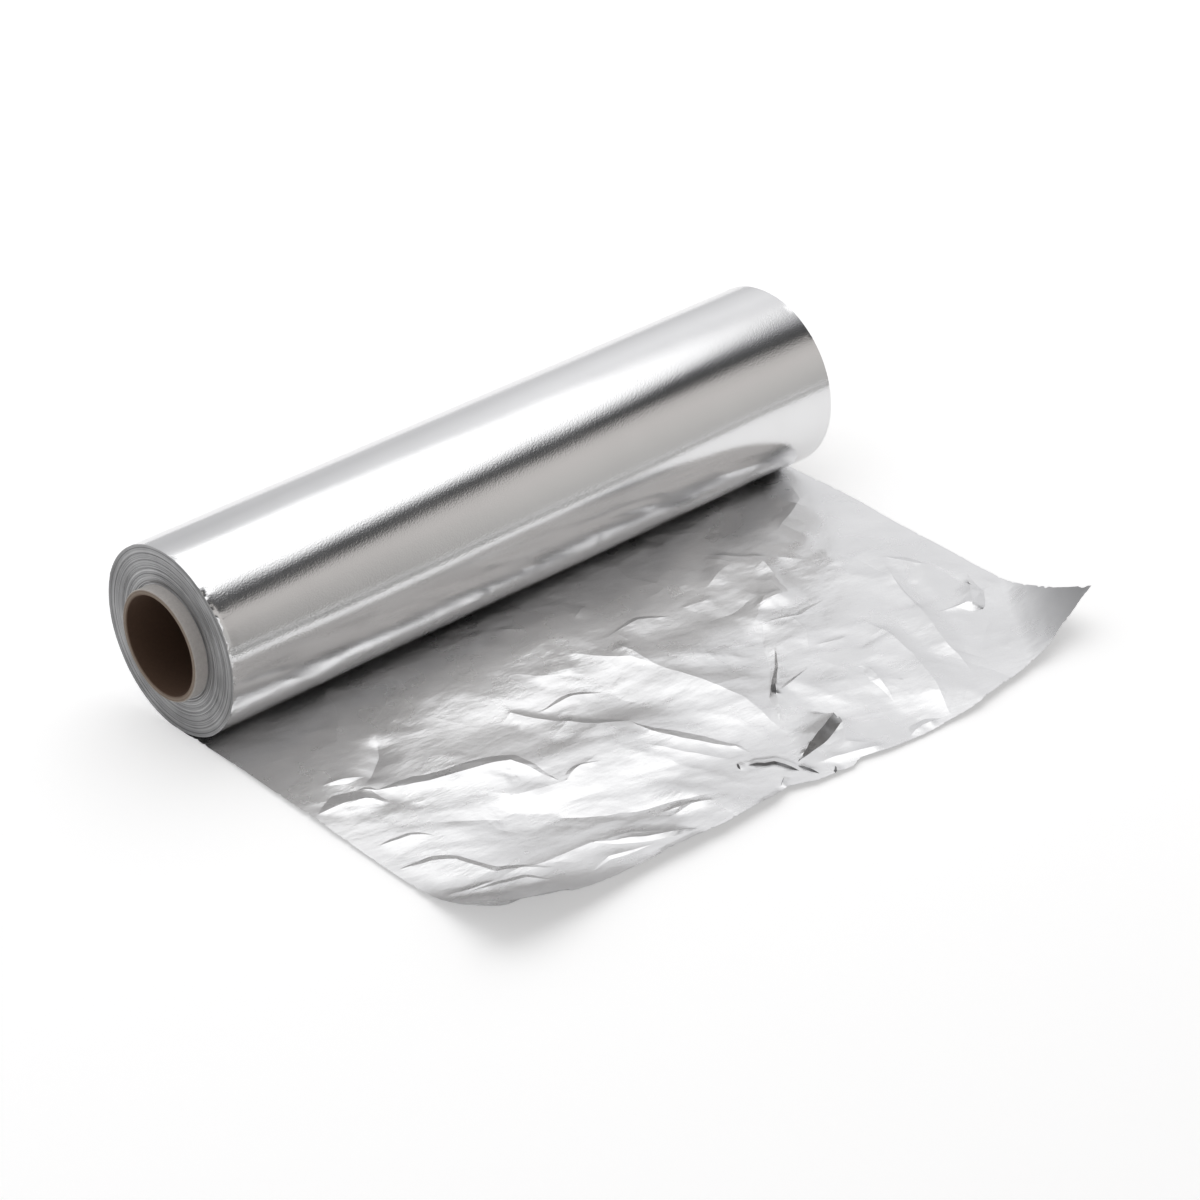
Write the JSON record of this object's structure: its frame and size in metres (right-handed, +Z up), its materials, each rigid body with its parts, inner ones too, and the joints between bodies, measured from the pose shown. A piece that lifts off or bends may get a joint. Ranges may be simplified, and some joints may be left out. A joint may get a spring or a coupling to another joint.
{
  "type": "aluminium foil roll",
  "caption": "Roll of aluminium foil wound on an open cardboard tube, lying on its side with a crumpled sheet drawn off under it and its front corners curled up.",
  "frame": {"origin": "on the surface the roll lies on, straight under the middle of the roll", "axes": "+X along the tube, +Z up, and the loose sheet runs out from under the roll towards -Y"},
  "size_m": [0.31, 0.2264, 0.0749],
  "materials": {
    "cardboard": "pale paper outside, brown fibre at the cut ends and in the bore",
    "foil": "bright rolled foil, smooth on the roll and crumpled on the loose sheet"
  },
  "bodies": {
    "root": {"core_tube": "cardboard", "foil": "foil"}
  },
  "joints": []
}
